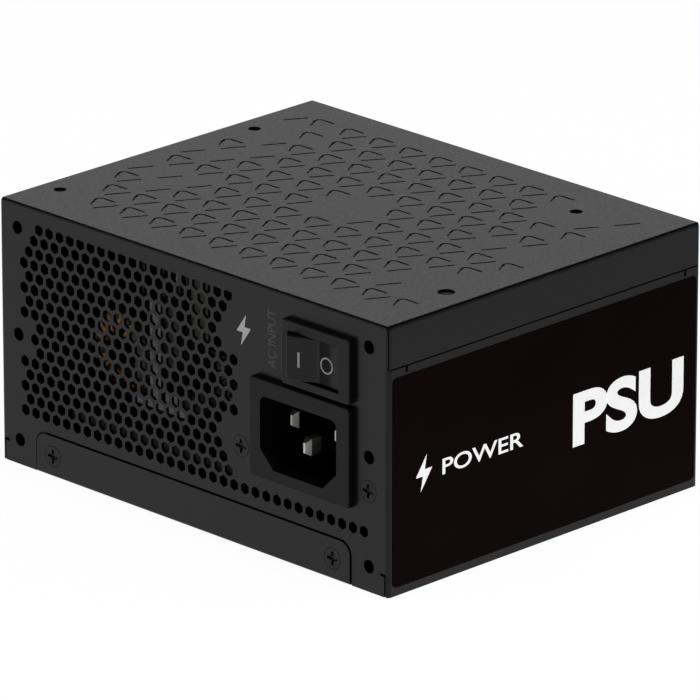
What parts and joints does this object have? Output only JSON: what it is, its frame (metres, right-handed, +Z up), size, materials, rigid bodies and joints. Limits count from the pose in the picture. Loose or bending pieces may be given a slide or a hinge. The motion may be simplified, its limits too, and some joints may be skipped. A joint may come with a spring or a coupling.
{
  "type": "power supply unit",
  "caption": "Small-form-factor modular power supply: folded black steel case with honeycomb AC panel, mains inlet, rocker switch, patterned top, screwed fan cover and hidden side fan.",
  "frame": {"origin": "centre of the case's footprint, on the plane of the fan cover that the unit rests on", "axes": "+Z up through the patterned top; -Y out of the panel with the mains inlet and switch; +Y out of the panel with the output sockets; +X to the right seen from the inlet side"},
  "size_m": [0.1254, 0.106, 0.0635],
  "materials": {
    "case_paint": "fine matte black powder coat",
    "grille_paint": "satin black paint",
    "black_screw": "black zinc, satin",
    "label_film": "glossy printed film, near black",
    "inlet_plastic": "moulded black nylon",
    "switch_plastic": "moulded black plastic",
    "rocker_plastic": "semi-gloss black plastic",
    "nickel_contact": "bright nickel plate",
    "fan_plastic": "satin black glass-filled plastic",
    "magnet_rubber": "matte bonded ferrite",
    "steel": "ground steel",
    "sintered_bronze": "sintered, matte",
    "motor_laminations": "varnished laminations and windings",
    "board_green": "green solder mask",
    "standoff_zinc": "bright zinc",
    "insulation_film": "translucent insulating film",
    "powder_core": "painted iron-powder core",
    "enamelled_copper": "enamelled copper wire",
    "varnished_copper": "copper wire under dark varnish",
    "aluminium": "extruded, satin",
    "package_epoxy": "moulded epoxy",
    "capacitor_sleeve": "shrink sleeve over an aluminium can",
    "film_yellow": "yellow moulded box",
    "ceramic_blue": "epoxy-dipped disc",
    "fuse_glass": "sleeved fuse",
    "ferrite": "sintered ferrite",
    "winding_tape": "polyester tape over copper",
    "wire_black": "insulated stranded wire",
    "wire_earth": "green insulated stranded wire",
    "bus_copper": "tinned copper bar",
    "socket_plastic": "moulded black nylon"
  },
  "bodies": {
    "case": {"case_shell": "case_paint", "fan_cover": "case_paint", "fan_grille": "grille_paint", "cover_screws": "black_screw", "right_label": "label_film", "left_label": "label_film", "fan_frame": "fan_plastic", "fan_motor_mount": "fan_plastic", "fan_bearing": "sintered_bronze", "fan_stator": "motor_laminations", "fan_motor_board": "board_green", "fan_screws": "black_screw", "fan_lead": "wire_black", "inlet_housing": "inlet_plastic", "inlet_line_tab": "nickel_contact", "inlet_neutral_tab": "nickel_contact", "inlet_earth_tab": "nickel_contact", "inlet_screws": "black_screw", "switch_housing": "switch_plastic", "switch_terminals": "nickel_contact", "mains_wires": "wire_black", "earth_wire": "wire_earth", "main_board": "board_green", "board_standoffs": "standoff_zinc", "board_screws": "standoff_zinc", "insulation_sheet": "insulation_film", "boost_choke_core": "powder_core", "boost_choke_winding": "enamelled_copper", "line_choke_core": "powder_core", "line_choke_winding": "varnished_copper", "primary_heatsink": "aluminium", "primary_transistors": "package_epoxy", "bridge_rectifier": "package_epoxy", "bulk_capacitor": "capacitor_sleeve", "film_capacitors": "film_yellow", "disc_capacitors": "ceramic_blue", "mains_fuse": "fuse_glass", "transformer_core": "ferrite", "transformer_winding": "winding_tape", "standby_transformer": "winding_tape", "rectifier_card": "board_green", "rectifier_chips": "package_epoxy", "output_capacitors": "capacitor_sleeve", "bus_bars": "bus_copper", "modular_board": "board_green", "motherboard_sockets": "socket_plastic", "eight_pin_sockets": "socket_plastic", "six_pin_sockets": "socket_plastic", "graphics_socket": "socket_plastic", "socket_pins": "nickel_contact"},
    "fan_wheel": {"fan_rotor": "fan_plastic", "fan_magnet": "magnet_rubber", "fan_shaft": "steel"},
    "rocker": {"switch_rocker": "rocker_plastic"}
  },
  "joints": [
    {"name": "fan_spin", "type": "hinge", "parent": "case", "child": "fan_wheel", "pos_m": [0, 0, 0.01], "axis": [0, 0, 1], "continuous": true},
    {"name": "rocker_tilt", "type": "hinge", "parent": "case", "child": "rocker", "pos_m": [0.0406, -0.04893, 0.05035], "axis": [0, 0, -1], "range_deg": [0, 22]}
  ]
}
